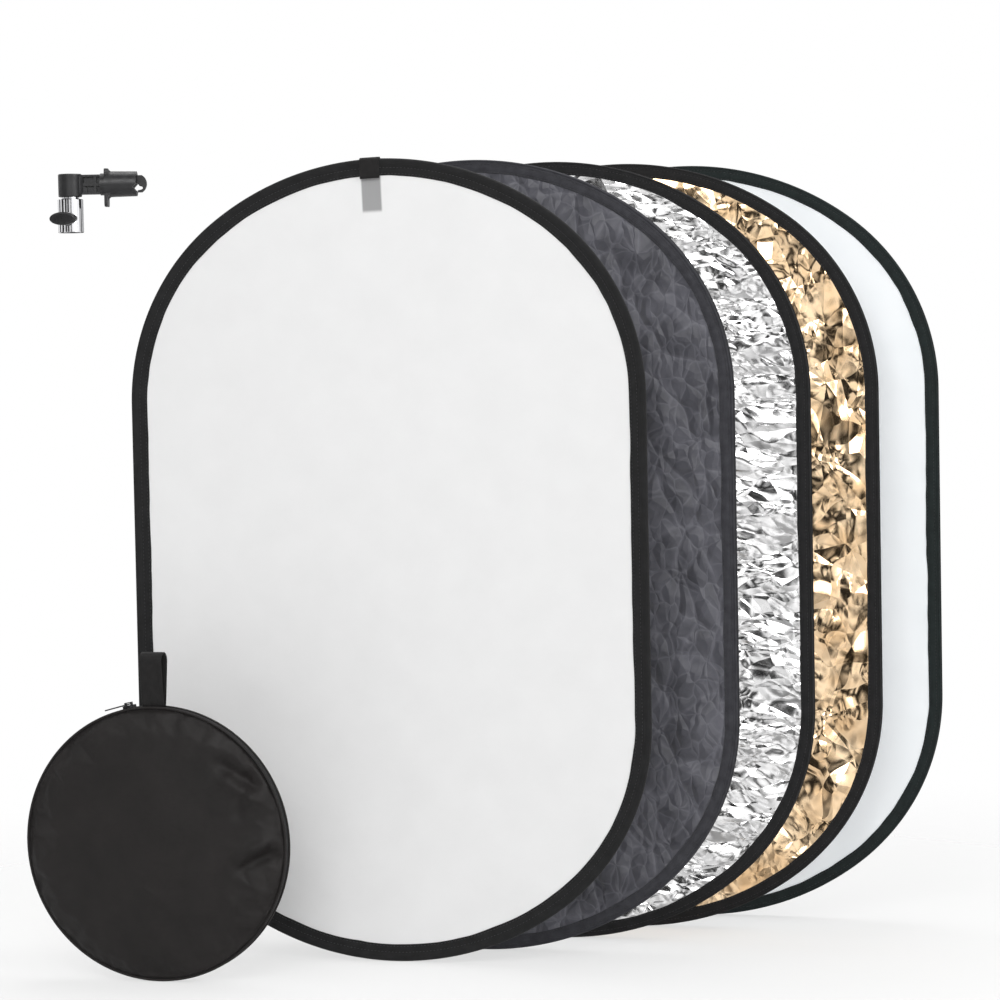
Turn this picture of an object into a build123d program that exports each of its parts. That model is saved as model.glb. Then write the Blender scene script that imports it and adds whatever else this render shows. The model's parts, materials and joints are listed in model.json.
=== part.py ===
from build123d import *
import math
import os

# ---------------------------------------------------------------------------
# Collapsible oval reflector set: five panels, a storage bag and a holder.
# Millimetres, +Z up, +X to the right, the panels face -Y.
# A panel is drawn in its own axes: X across, Y up, Z out of its front face,
# with its centre at zero. Insets are measured inwards from its outline.
# ---------------------------------------------------------------------------

# Panel outline
panel_width = 600.0
panel_height = 900.0
crown_radius = 330.0
shoulder_radius = 255.0

# Layout of the fan: every panel is turned the same way and steps back and right
panel_turn = 15.0
panel_places = {
    "diffuser": (-126.3, 0.0),
    "black": (-25.7, 65.0),
    "silver": (65.4, 130.0),
    "gold": (150.5, 195.0),
    "white": (229.0, 260.0),
}
cover_names = ["black", "silver", "gold", "white"]
bag_place = (-381.0, -85.0)
holder_place = (-470.0, 0.0, 824.0)

# Hoop: flat spring-steel strip, on edge, in a fabric tunnel
strip_thick = 1.2
strip_width = 4.8
ferrule_wall = 0.6
ferrule_length = 50.0
hoop_gap = 1.0

# Diffuser panel
fabric_thick = 0.8
binding_width = 19.0
binding_thick = 2.4
bead_width = 8.0
bead_half = 3.4
bead_round = 2.2
diffuser_hoop_inset = 3.4
tab_width = 23.0
tab_thick = 1.2
tab_front = 22.0
tab_back = 59.0
tab_offset = 10.0

# Covered panels
cover_half = 7.0
rim_flange = 15.0
rim_flange_thick = 1.2
piping_width = 2.4
piping_round = 1.0
sheet_thick = 0.8
zip_tape_half = 5.2
zip_tape_inset = 1.2
zip_coil_half = 2.2
zip_coil_inset = 0.2
core_bead_width = 7.0
core_hoop_inset = 5.0

# Zip sliders and their pull tabs
slider_length = 13.0
slider_half_width = 4.0
slider_height = 2.8
slider_gap = 0.3
bridge_height = 3.4
bridge_wall = 1.0
bridge_start = 2.5
bridge_length = 9.0
bridge_half_width = 1.5
pull_half_width = 4.2
pull_thick = 1.4
pull_bar_radius = 0.7
pull_window = 5.4
pull_window_half = 2.1
pull_length = 28.0
cover_slider_low = -160.0

# Storage bag
bag_radius = 151.5
bag_panel_radius = 148.5
bag_panel_edge = 6.4
bag_panel_crown = 16.0
bag_piping_low = 4.6
bag_piping_high = 7.0
bag_tape_radius = 149.7
bag_coil_radius = 150.9
bag_coil_half = 1.6
bag_coil_from = 6.0
bag_coil_to = 190.0
bag_slider_angle = 8.4
bag_pull_lean = 4.0
loop_width = 26.0
loop_height = 59.0
loop_strap = 1.6
loop_foot_radius = 3.0
loop_top_radius = 10.0

# Holder, about its barrel's axis, with its foot at zero and the arm along +X
barrel_radius = 14.2
barrel_height = 37.0
socket_radius = 8.1
socket_depth = 26.0
recess_radius = 7.6
recess_top = 30.0
spigot_radius = 5.0
spigot_clearance = 0.15
collar_radius = 9.8
turning_gap = 0.3
spigot_top = 52.0
retainer_radius = 7.2
head_radius = 13.1
head_low = 39.7
head_top = 65.0
arm_height = 53.0
arm_flange_half_width = 5.0
arm_half_height = 10.9
arm_flange_thick = 2.2
arm_web_half = 1.4
arm_mid_half = 1.7
arm_rib_half_width = 4.2
arm_rib_thick = 3.0
arm_rib_x = 26.9
arm_root_end = 15.4
arm_root_half_width = 7.0
arm_boss_radius = 4.3
arm_boss_drop = 6.4
arm_end = 34.2
piston_end = 38.7
piston_radius = 12.2
rod_radius = 3.0
rod_pin_radius = 1.0
jaw_end = 74.5
sleeve_start = 38.9
sleeve_radius = 13.8
sleeve_near_radius = 14.5
sleeve_bore = 12.5
sleeve_wall_x = 68.5
wing_thick = 3.6
wing_up = 17.5
wing_down = 24.9
wing_half_width = 10.0
hook_half = 3.0
hook_top = 9.4
hook_low = -9.6
hook_round_x = 74.3
hook_round = 11.1
spring_radius = 8.8
spring_wire = 0.7
spring_turns = 9
knob_turn = -12.0
knob_height = 14.9
boss_radius = 6.5
boss_end = 17.0
screw_radius = 3.0
screw_clearance = 0.15
pad_face = 8.4
pad_thick = 1.6
knob_face = 21.0
knob_half_length = 15.4
knob_half_height = 7.3
knob_thick = 8.0

# ---------------------------------------------------------------------------
# General shapes
# ---------------------------------------------------------------------------

crown_angle = math.degrees(
    math.asin((panel_width / 2 - shoulder_radius) / (crown_radius - shoulder_radius))
)
shoulder_centre = (
    panel_width / 2 - shoulder_radius,
    panel_height / 2
    - crown_radius
    + (crown_radius - shoulder_radius) * math.cos(math.radians(crown_angle)),
)


def block(x, y, z):
    """A box between a low and a high limit along each axis."""
    size = (x[1] - x[0], y[1] - y[0], z[1] - z[0])
    middle = ((x[0] + x[1]) / 2, (y[0] + y[1]) / 2, (z[0] + z[1]) / 2)
    return Pos(*middle) * Box(*size)


def disc(radius, low, high):
    """A cylinder about the Z axis between two heights."""
    return Pos(0, 0, (low + high) / 2) * Cylinder(radius, high - low)


def tube(outer, inner, low, high):
    """A straight tube about the Z axis between two heights."""
    return disc(outer, low, high) - disc(inner, low, high)


def rim_point(inset, angle, side, end):
    """Point of the outline in one quarter, at an angle away from the long axis."""
    turn = math.radians(angle)
    if angle <= crown_angle:
        centre = (0.0, panel_height / 2 - crown_radius)
        radius = crown_radius - inset
    else:
        centre = shoulder_centre
        radius = shoulder_radius - inset
    x = centre[0] + radius * math.sin(turn)
    y = centre[1] + radius * math.cos(turn)
    return (side * x, end * y)


def outline(inset):
    """The oval face: two crowns, four shoulders and two straight sides."""
    edges = []
    middle = (crown_angle + 90) / 2
    for end in (1, -1):
        edges.append(
            ThreePointArc(
                rim_point(inset, crown_angle, -1, end),
                rim_point(inset, 0, 1, end),
                rim_point(inset, crown_angle, 1, end),
            )
        )
        for side in (1, -1):
            edges.append(
                ThreePointArc(
                    rim_point(inset, crown_angle, side, end),
                    rim_point(inset, middle, side, end),
                    rim_point(inset, 90, side, end),
                )
            )
    for side in (1, -1):
        edges.append(Line(rim_point(inset, 90, side, 1), rim_point(inset, 90, side, -1)))
    return make_face(edges)


def plate(inset, low, high):
    """A flat sheet of the outline's shape between two depths."""
    return extrude(Pos(0, 0, low) * outline(inset), amount=high - low, dir=(0, 0, 1))


def ring(outer_inset, inner_inset, low, high):
    """A band that follows the outline, between two insets and two depths."""
    band = outline(outer_inset) - outline(inner_inset)
    return extrude(Pos(0, 0, low) * band, amount=high - low, dir=(0, 0, 1))


def outer_edges(body, highest):
    """Edges round the outside of a body's highest or lowest flat face."""
    index = -1 if highest else 0
    return body.faces().sort_by(Axis.Z)[index].outer_wire().edges()


# ---------------------------------------------------------------------------
# Hoops and ferrules, shared by all five panels
# ---------------------------------------------------------------------------


def hoop(inset):
    """Flat spring-steel strip round a panel, its two ends butted on the left side."""
    strip = ring(inset, inset + strip_thick, -strip_width / 2, strip_width / 2)
    left = -panel_width / 2
    joint = block(
        (left - 1, left + 20), (-hoop_gap / 2, hoop_gap / 2), (-strip_width, strip_width)
    )
    return strip - joint


def hoop_ferrule(inset):
    """Flattened metal sleeve over the hoop's two ends."""
    left = -panel_width / 2 + inset
    half = strip_width / 2
    length = (-ferrule_length / 2, ferrule_length / 2)
    outside = block(
        (left - ferrule_wall, left + strip_thick + ferrule_wall),
        length,
        (-half - ferrule_wall, half + ferrule_wall),
    )
    return outside - block((left, left + strip_thick), length, (-half, half))


def tunnel(inset):
    """The space that a hem leaves for the hoop and its ferrule."""
    half = strip_width / 2 + ferrule_wall
    return ring(inset - ferrule_wall, inset + strip_thick + ferrule_wall, -half, half)


# ---------------------------------------------------------------------------
# Diffuser panel
# ---------------------------------------------------------------------------


def diffuser_fabric():
    return plate(bead_width, -fabric_thick / 2, fabric_thick / 2)


def diffuser_binding():
    """Edge binding: a hem round the hoop and a flat tape each side of the fabric."""
    hem = ring(0, bead_width, -bead_half, bead_half)
    hem = fillet(outer_edges(hem, True), bead_round)
    hem = fillet(outer_edges(hem, False), bead_round)
    tape = ring(bead_width - 1, binding_width, -binding_thick / 2, binding_thick / 2)
    slot = ring(bead_width, binding_width + 1, -fabric_thick / 2, fabric_thick / 2)
    return hem + tape - slot - tunnel(diffuser_hoop_inset)


def diffuser_tab():
    """Webbing folded over the top edge, short in front and long behind."""
    over = ring(-tab_thick, 0, -bead_half - tab_thick, bead_half + tab_thick)
    front = ring(-tab_thick, tab_front, bead_half, bead_half + tab_thick)
    back = ring(-tab_thick, tab_back, -bead_half - tab_thick, -bead_half)
    lean = math.degrees(math.asin(tab_offset / crown_radius))
    slab = block(
        (-tab_width / 2, tab_width / 2),
        (crown_radius - tab_back - 10, crown_radius + 10),
        (-20, 20),
    )
    slab = Pos(0, panel_height / 2 - crown_radius, 0) * Rot(0, 0, lean) * slab
    return (over + front + back) & slab


# ---------------------------------------------------------------------------
# Covered panels
# ---------------------------------------------------------------------------


def cover_sheet(side):
    """Face fabric of a cover: side is 1 for the front and -1 for the back."""
    top = cover_half - rim_flange_thick
    sheet = plate(piping_width, top - sheet_thick, top)
    return sheet if side > 0 else mirror(sheet, about=Plane.XY)


def cover_rim():
    """Front and back edge bands, each a flat band on the face and a piped edge."""
    flange = ring(0, rim_flange, cover_half - rim_flange_thick, cover_half)
    edge = ring(0, piping_width, zip_tape_half, cover_half - rim_flange_thick)
    front = fillet(outer_edges(flange + edge, True), piping_round)
    back = mirror(front, about=Plane.XY)
    return front + back


def cover_zip():
    """Zip tape round the rim's middle with its raised coil."""
    tape = ring(zip_tape_inset, piping_width, -zip_tape_half, zip_tape_half)
    coil = ring(zip_coil_inset, zip_tape_inset, -zip_coil_half, zip_coil_half)
    return tape + coil


def cover_core():
    """Inner diffuser: a membrane with a hem that holds the hoop."""
    hem_end = piping_width + core_bead_width
    hem = ring(piping_width, hem_end, -bead_half, bead_half)
    membrane = plate(hem_end - 0.4, -fabric_thick / 2, fabric_thick / 2)
    return hem - tunnel(core_hoop_inset) + membrane


def zip_slider(coil_half, coil_top, keel):
    """Slider along +Y from zero, with the zip's edge at X = 0 and its outside at +X."""
    body = block((-keel, slider_height), (0, slider_length), (-slider_half_width, slider_half_width))
    groove = block(
        (-keel - 1, coil_top + slider_gap),
        (-1, slider_length + 1),
        (-coil_half - slider_gap, coil_half + slider_gap),
    )
    bridge_end = bridge_start + bridge_length
    top = slider_height + bridge_height
    bridge = block(
        (slider_height - 0.5, top),
        (bridge_start, bridge_end),
        (-bridge_half_width, bridge_half_width),
    )
    eye = block(
        (slider_height, top - bridge_wall),
        (bridge_start + 2, bridge_end - 2),
        (-bridge_half_width - 1, bridge_half_width + 1),
    )
    return body - groove + bridge - eye


def pull_pivot():
    """Middle of the pull's bar in the slider's own axes."""
    return (
        slider_height + (bridge_height - bridge_wall) / 2,
        bridge_start + bridge_length / 2,
    )


def zip_pull():
    """Pull tab hanging along -Y from its bar, which lies on the Z axis at zero."""
    half = pull_thick / 2
    tab = block((-half, half), (-pull_length, 0), (-pull_half_width, pull_half_width))
    tab = fillet(tab.edges().filter_by(Axis.X).sort_by(Axis.Y)[:2], 2.0)
    window = block((-half, half), (-pull_window, 1), (-pull_window_half, pull_window_half))
    bar = Cylinder(pull_bar_radius, 2 * pull_half_width)
    return tab - window + bar


# ---------------------------------------------------------------------------
# Storage bag
# ---------------------------------------------------------------------------


def bag_panel(side):
    """One domed half of the flat round bag: side is 1 in front and -1 behind."""
    profile = make_face(
        [
            Line((0, 0), (bag_panel_radius, 0)),
            Line((bag_panel_radius, 0), (bag_panel_radius, bag_panel_edge)),
            TangentArc(
                (0, bag_panel_crown), (bag_panel_radius, bag_panel_edge), tangent=(1, 0)
            ),
            Line((0, bag_panel_crown), (0, 0)),
        ]
    )
    half = revolve(Plane.XZ * profile, Axis.Z, 360)
    return half if side > 0 else mirror(half, about=Plane.XY)


def bag_piping():
    """Two piping rings round the bag's edge, one in front of the zip and one behind."""
    front = tube(bag_radius, bag_panel_radius, bag_piping_low, bag_piping_high)
    front = fillet(outer_edges(front, True), 1.0)
    front = fillet(outer_edges(front, False), 0.6)
    back = mirror(front, about=Plane.XY)
    return front + back


def bag_zip():
    """Zip tape all round the edge; its raised coil runs down one side of the bag."""
    tape = tube(bag_tape_radius, bag_panel_radius, -bag_piping_low, bag_piping_low)
    profile = Rectangle(
        bag_coil_radius - bag_tape_radius, 2 * bag_coil_half, align=(Align.MIN, Align.CENTER)
    )
    section = Plane.XZ * Pos(bag_tape_radius, 0) * profile
    coil = revolve(section, Axis.Z, bag_coil_to - bag_coil_from)
    return tape + Rot(0, 0, 90 + bag_coil_from) * coil


def bag_loop():
    """Webbing loop that stands up from the top seam, open from side to side."""
    foot = bag_tape_radius + loop_foot_radius
    top = bag_radius + loop_height - loop_top_radius
    outside = make_hull(
        (Pos(foot, 0) * Circle(loop_foot_radius) + Pos(top, 0) * Circle(loop_top_radius)).edges()
    )
    inside = make_hull(
        (
            Pos(foot + 3, 0) * Circle(loop_foot_radius - loop_strap)
            + Pos(top, 0) * Circle(loop_top_radius - loop_strap)
        ).edges()
    )
    strap = extrude(Plane.YZ * (outside - inside), amount=loop_width / 2, both=True)
    half = loop_width / 2
    root = block(
        (-half, half), (bag_panel_radius, foot), (-loop_foot_radius, loop_foot_radius)
    )
    return strap + root - disc(bag_tape_radius, -20, 20)


# ---------------------------------------------------------------------------
# Holder
# ---------------------------------------------------------------------------


def across(body, height):
    """Stands a body that lies about the Z axis on its side, pointing out along -Y."""
    return Rot(0, 0, knob_turn) * Pos(0, 0, height) * Rot(90, 0, 0) * body


def along(body):
    """Lays a body that stands about the Z axis along +X, on the arm's axis."""
    return Pos(0, 0, arm_height) * Rot(0, 90, 0) * body


def holder_barrel():
    """Chromed barrel: stud socket from below, spigot hole on top, boss for the screw."""
    barrel = disc(barrel_radius, 0, barrel_height)
    barrel = chamfer(barrel.edges().filter_by(GeomType.CIRCLE), 0.6)
    boss = across(disc(boss_radius, 0, boss_end), knob_height)
    cross_hole = across(disc(screw_radius + screw_clearance, 0, boss_end + 1), knob_height)
    spigot_hole = disc(spigot_radius + spigot_clearance, recess_top - 1, barrel_height + 1)
    recess = disc(recess_radius, socket_depth - 1, recess_top)
    socket = disc(socket_radius, -1, socket_depth)
    return barrel + boss - cross_hole - spigot_hole - recess - socket


def holder_spigot():
    """Pivot pin, fast in the head and turning in the barrel's top wall."""
    pin = disc(spigot_radius, recess_top - turning_gap, spigot_top)
    collar = disc(collar_radius, barrel_height + turning_gap, head_low)
    collar = chamfer(collar.edges().filter_by(GeomType.CIRCLE), 0.4)
    return pin + collar - disc(2.5, recess_top - 1, spigot_top - 8)


def holder_spigot_screw():
    """Retaining screw with its washer, under the barrel's top wall."""
    seat = recess_top - turning_gap
    washer = disc(retainer_radius, seat - 1.5, seat)
    screw_head = disc(4.5, seat - 3.5, seat - 1.5)
    shank = disc(2.5, seat - 1.5, spigot_top - 8)
    socket = extrude(
        Pos(0, 0, seat - 4) * RegularPolygon(1.5, 6), amount=2.5, dir=(0, 0, 1)
    )
    return washer + screw_head + shank - socket


def holder_head():
    """Round head with a ribbed arm that ends in a round piston plate."""
    head = disc(head_radius, head_low, head_top)
    head = chamfer(head.edges().filter_by(GeomType.CIRCLE), 0.8)
    low, high = arm_height - arm_half_height, arm_height + arm_half_height
    reach = (0, arm_end + 1)
    width = (-arm_flange_half_width, arm_flange_half_width)
    arm = block(reach, width, (high - arm_flange_thick, high))
    arm += block(reach, width, (low, low + arm_flange_thick))
    rib_width = (-arm_rib_half_width, arm_rib_half_width)
    arm += block(reach, rib_width, (arm_height - arm_mid_half, arm_height + arm_mid_half))
    arm += block(reach, (-arm_web_half, arm_web_half), (low, high))
    arm += block((arm_rib_x, arm_rib_x + arm_rib_thick), rib_width, (low, high))
    root_width = (-arm_root_half_width, arm_root_half_width)
    root = block((0, arm_root_end), root_width, (low + 1, high - 1))
    arm += chamfer(root.faces().sort_by(Axis.X)[-1].edges().filter_by(Axis.Z), 3.0)
    boss_place = Pos(arm_root_end, 0, arm_height - arm_boss_drop)
    arm += boss_place * Rot(90, 0, 0) * Cylinder(arm_boss_radius, 2 * arm_rib_half_width)
    piston = along(disc(piston_radius, arm_end, piston_end))
    rod_hole = along(disc(rod_radius, piston_end - 4, piston_end + 1))
    pin_hole = Pos((arm_end + piston_end) / 2, 0, arm_height) * Cylinder(rod_pin_radius, 18)
    bore = disc(spigot_radius, head_low - 2, spigot_top)
    return head + arm + piston - rod_hole - pin_hole - bore


def hook_outline():
    """Hook plate in X and height above the arm's axis, with its keyhole throat."""
    head = Pos(hook_round_x, 0) * Circle(hook_round)
    body = Pos((sleeve_wall_x + 100) / 2, 0) * Rectangle(
        100 - sleeve_wall_x, 2 * hook_round
    )
    head = head & body
    band = Pos(80, (hook_top + hook_low) / 2) * Rectangle(24, hook_top - hook_low)
    neck_low = 0.5
    throat = make_face(
        Polyline(
            (sleeve_wall_x - 1, neck_low),
            (jaw_end + 0.9, neck_low),
            (77.6, -2.6),
            (80.9, -3.6),
            (81.3, -5.6),
            (79.6, -6.6),
            (77.2, -7.0),
            (75.4, -7.4),
            (75.4, hook_low - 2),
            (sleeve_wall_x - 1, hook_low - 2),
            close=True,
        )
    )
    throat = fillet(throat.vertices().sort_by(Axis.X)[-3:], 0.7)
    return (head & band) - throat


def holder_hook():
    """Hook plate on the end of its rod."""
    hook = extrude(Plane.XZ * hook_outline(), amount=hook_half, both=True)
    hook = Pos(0, 0, arm_height) * hook
    rib = block((sleeve_wall_x, 80.4), (-hook_half - 0.2, hook_half + 0.2), (2.2, 6.7))
    rod = along(disc(rod_radius, piston_end - 4, sleeve_wall_x + 1.5))
    pin_hole = Pos((arm_end + piston_end) / 2, 0, arm_height) * Cylinder(rod_pin_radius, 18)
    return hook + Pos(0, 0, arm_height) * rib + rod - pin_hole


def holder_hook_pin():
    """Cross pin that fixes the rod in the arm's piston plate."""
    return Pos((arm_end + piston_end) / 2, 0, arm_height) * Cylinder(rod_pin_radius, 18)


def holder_spring():
    """Coil spring round the rod, from the piston plate to the sleeve's end wall."""
    length = sleeve_wall_x - piston_end - 2 * spring_wire - 0.2
    path = Helix(pitch=length / spring_turns, height=length, radius=spring_radius)
    section = Plane(origin=path @ 0, z_dir=path % 0) * Circle(spring_wire)
    coil = sweep(section, path=path, is_frenet=True)
    return along(Pos(0, 0, piston_end + spring_wire + 0.1) * coil)


def sleeve_wings():
    """Two finger wings on the sleeve's near end, the lower one longer."""
    wing = Pos((wing_down - wing_up) / 2, 0) * RectangleRounded(
        wing_up + wing_down, 2 * wing_half_width, 4
    )
    return extrude(wing, amount=wing_thick)


def holder_sleeve():
    """Sliding sleeve: finger wings at one end, slotted wall and notched jaw at the other."""
    length = jaw_end - sleeve_start
    body = Pos(0, 0, length / 2) * Cone(sleeve_near_radius, sleeve_radius, length)
    flare = Pos(0, 0, wing_thick + 1.8) * Cone(17, sleeve_radius, 3.6)
    width = (-wing_half_width, wing_half_width)
    body += sleeve_wings() + (flare & block((-17.2, 17.2), width, (0, 30)))
    body -= disc(sleeve_bore, -1, sleeve_wall_x - sleeve_start)
    body = Pos(sleeve_start, 0, arm_height) * Rot(0, 90, 0) * body
    slot_half = hook_half + 0.5
    slot = block((sleeve_wall_x - 1, jaw_end + 1), (-slot_half, slot_half), (-3.4, hook_top + 0.4))
    notch = make_face(
        Polyline(
            (jaw_end + 2, 2.7), (jaw_end - 4.3, -4.2), (jaw_end + 2, -11.1), close=True
        )
    )
    notch = extrude(Plane.XZ * notch, amount=20, both=True)
    return body - Pos(0, 0, arm_height) * slot - Pos(0, 0, arm_height) * notch


def holder_screw():
    """Clamp screw: plain shank with a collar that the knob is moulded over."""
    shank = disc(screw_radius, pad_face + pad_thick, knob_face + knob_thick - 2)
    collar = disc(5.0, knob_face - 1.0, knob_face)
    return across(shank + collar, knob_height)


def holder_knob():
    """Oval T-knob with a pillowed face and a small dimple."""
    oval = Ellipse(knob_half_length, knob_half_height)
    knob = extrude(oval, amount=knob_thick)
    knob = fillet(outer_edges(knob, True), 2.4)
    knob = fillet(outer_edges(knob, False), 1.0)
    dimple = Pos(0, 0, knob_thick) * Sphere(1.0)
    shank = disc(screw_radius, -1, knob_thick - 2)
    return across(Pos(0, 0, knob_face) * (knob - dimple - shank), knob_height)


def holder_pressure_pad():
    """Brass pad that the screw presses on the stud."""
    return across(disc(screw_radius, pad_face, pad_face + pad_thick), knob_height)


# ---------------------------------------------------------------------------
# Assembly
# ---------------------------------------------------------------------------


def panel_location(x, y, height):
    """Places a panel's own axes in the model: it stands upright and is turned a little."""
    turn = math.radians(panel_turn)
    across_dir = (math.cos(turn), -math.sin(turn), 0)
    facing = (-math.sin(turn), -math.cos(turn), 0)
    return Plane(origin=(x, y, height), x_dir=across_dir, z_dir=facing).location


def diffuser_parts():
    return {
        "diffuser_fabric": diffuser_fabric(),
        "diffuser_binding": diffuser_binding(),
        "diffuser_spring_hoop": hoop(diffuser_hoop_inset),
        "diffuser_hoop_ferrule": hoop_ferrule(diffuser_hoop_inset),
        "diffuser_tab": diffuser_tab(),
    }


def cover_parts():
    """Pieces of one covered panel, named without the panel's colour; its zip closes on the left."""
    side = panel_width / 2
    slider = zip_slider(zip_coil_half, -zip_coil_inset, zip_tape_inset - slider_gap)
    slider = Pos(side, cover_slider_low, 0) * slider
    pivot = pull_pivot()
    pull = Pos(side + pivot[0], cover_slider_low + pivot[1], 0) * zip_pull()
    return {
        "face": cover_sheet(1),
        "back": cover_sheet(-1),
        "rim": cover_rim(),
        "zip": cover_zip(),
        "core": cover_core(),
        "spring_hoop": hoop(core_hoop_inset),
        "hoop_ferrule": hoop_ferrule(core_hoop_inset),
        "zip_slider": mirror(slider, about=Plane.YZ),
        "zip_pull": mirror(pull, about=Plane.YZ),
    }


def bag_slider_place():
    """Turns a slider's axes onto the bag's edge, left of the loop and facing up."""
    half = math.degrees(slider_length / 2 / bag_radius)
    angle = bag_slider_angle + half
    return Rot(0, 0, 90 + angle) * Pos(bag_radius, -slider_length / 2, 0)


def bag_parts():
    coil_top = bag_coil_radius - bag_radius
    keel = bag_radius - bag_tape_radius - slider_gap
    slider = zip_slider(bag_coil_half, coil_top + slider_gap, keel - slider_gap)
    pivot = pull_pivot()
    place = bag_slider_place()
    return {
        "bag_front_panel": bag_panel(1),
        "bag_back_panel": bag_panel(-1),
        "bag_piping": bag_piping(),
        "bag_zip": bag_zip(),
        "bag_loop": bag_loop(),
        "bag_zip_slider": place * slider,
        "bag_zip_pull": place * Pos(*pivot, 0) * Rot(0, 0, 180 + bag_pull_lean) * zip_pull(),
    }


def holder_parts():
    return {
        "holder_barrel": holder_barrel(),
        "holder_spigot": holder_spigot(),
        "holder_spigot_screw": holder_spigot_screw(),
        "holder_head": holder_head(),
        "holder_hook": holder_hook(),
        "holder_hook_pin": holder_hook_pin(),
        "holder_spring": holder_spring(),
        "holder_sleeve": holder_sleeve(),
        "holder_screw": holder_screw(),
        "holder_knob": holder_knob(),
        "holder_pressure_pad": holder_pressure_pad(),
    }


def assemble():
    """Every node in its place, before the origin is moved under the middle."""
    middle = panel_height / 2
    placed = {}
    location = panel_location(*panel_places["diffuser"], middle)
    for name, body in diffuser_parts().items():
        placed[name] = location * body
    pieces = cover_parts()
    for colour in cover_names:
        location = panel_location(*panel_places[colour], middle)
        for name, body in pieces.items():
            placed[f"{colour}_{name}"] = location * body
    location = panel_location(*bag_place, bag_radius)
    for name, body in bag_parts().items():
        placed[name] = location * body
    for name, body in holder_parts().items():
        placed[name] = Pos(*holder_place) * body
    return placed


nodes = assemble()
box = Compound(children=[solid for body in nodes.values() for solid in body.solids()]).bounding_box()
origin = ((box.min.X + box.max.X) / 2, (box.min.Y + box.max.Y) / 2, box.min.Z)
os.makedirs("parts", exist_ok=True)
for name, body in nodes.items():
    moved = Pos(-origin[0], -origin[1], -origin[2]) * body
    export_step(moved, f"parts/{name}.step")
print("origin", [round(value, 4) for value in origin])
print("size", box.size)
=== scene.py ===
import json
import math

import bpy
import numpy as np
from mathutils import Matrix, Vector
from mathutils.geometry import delaunay_2d_cdt


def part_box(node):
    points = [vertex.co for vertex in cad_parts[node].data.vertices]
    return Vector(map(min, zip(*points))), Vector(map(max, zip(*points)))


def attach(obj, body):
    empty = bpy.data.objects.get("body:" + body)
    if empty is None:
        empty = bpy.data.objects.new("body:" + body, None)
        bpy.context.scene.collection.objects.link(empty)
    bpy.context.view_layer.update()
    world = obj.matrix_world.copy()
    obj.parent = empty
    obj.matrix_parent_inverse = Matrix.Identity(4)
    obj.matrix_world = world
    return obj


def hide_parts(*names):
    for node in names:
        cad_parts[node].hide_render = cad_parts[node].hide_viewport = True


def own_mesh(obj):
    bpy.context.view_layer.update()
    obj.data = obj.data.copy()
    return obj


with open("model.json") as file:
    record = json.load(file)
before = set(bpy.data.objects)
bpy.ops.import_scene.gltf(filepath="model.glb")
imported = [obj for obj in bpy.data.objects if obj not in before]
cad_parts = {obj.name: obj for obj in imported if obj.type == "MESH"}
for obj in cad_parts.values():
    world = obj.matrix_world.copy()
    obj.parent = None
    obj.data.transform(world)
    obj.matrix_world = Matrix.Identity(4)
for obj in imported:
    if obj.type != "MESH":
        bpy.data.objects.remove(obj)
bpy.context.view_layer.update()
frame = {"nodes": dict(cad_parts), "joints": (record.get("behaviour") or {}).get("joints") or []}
nodes = frame["nodes"]
joints = {joint["name"]: joint for joint in frame["joints"]}

# Sizes, in metres. A panel is drawn in its own axes: X across, Y up and Z out
# of its front. Insets are measured inwards from its outline.

HALF_WIDTH = 0.300
HALF_HEIGHT = 0.450
CROWN_RADIUS = 0.330
SHOULDER_RADIUS = 0.255
COVERS = {
    "black": ("black", "white"),
    "silver": ("silver", "gold"),
    "gold": ("gold", "silver"),
    "white": ("white", "black"),
}
SWEEP_STEPS = 480
SHEET_SPACING = 0.0042
CLOTH_THICK = 0.0005
RELIEF_LOW = -0.0035
RELIEF_HIGH = 0.0055

DIFFUSER_SHEET_INSET = 0.008
DIFFUSER_SHEET_DEPTH = 0.0004
TAB_OFFSET = -0.010
TAB_WIDTH = 0.023
TAB_FRONT = 0.022
TAB_BACK = 0.059
TAB_THICK = 0.0012
BINDING_BEAD = 0.0034
TAB_BEND = 0.0035
TAB_LEG = CROWN_RADIUS - 0.006
TAB_LEAN = -math.asin(TAB_OFFSET / CROWN_RADIUS)

COVER_SHEET_INSET = 0.0024
COVER_SHEET_DEPTH = 0.0058
COVER_FLANGE = 0.015
CORE_INSET = 0.009
CORE_DEPTH = 0.0004
CORE_SPACING = 0.012

# Stitches and zip loops: pitch along the outline, then length, width and height
DIFFUSER_STITCH = 0.0042, (0.0030, 0.0007, 0.0006)
COVER_STITCH = 0.0041, (0.0029, 0.0007, 0.0006)
ZIP_LOOP = 0.0022, (0.0017, 0.0024, 0.0013)

BAG_SHELL_RADIUS = 0.1485
BAG_RADIUS = 0.1515
BAG_EDGE = 0.0064
BAG_CROWN = 0.016
BAG_SPACING = 0.0032
BAG_CLOTH_THICK = 0.0006
BAG_MAX_SWELL = 0.006
BAG_SETTLING = 21
BAG_CLOTH = {
    "quality": 6,
    "mass": 0.15,
    "tension_stiffness": 30,
    "compression_stiffness": 30,
    "shear_stiffness": 8,
    "bending_stiffness": 0.4,
    "shrink_min": -0.022,
    "vertex_group_mass": "seam",
    "use_pressure": True,
    "uniform_pressure_force": 1.2,
}
BAG_STEPS = 180
BAG_SEAM = 0.985
BAG_COIL_PITCH = 0.002
BAG_COIL_START = 6
BAG_COIL_TURN = 184
LOOP_WIDTH = 0.026
LOOP_HEIGHT = 0.059
LOOP_TOP_RADIUS = 0.010
LOOP_THICK = 0.0016

SPRING_WIRE = 0.0007
SPRING_TURNS = 9

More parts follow.
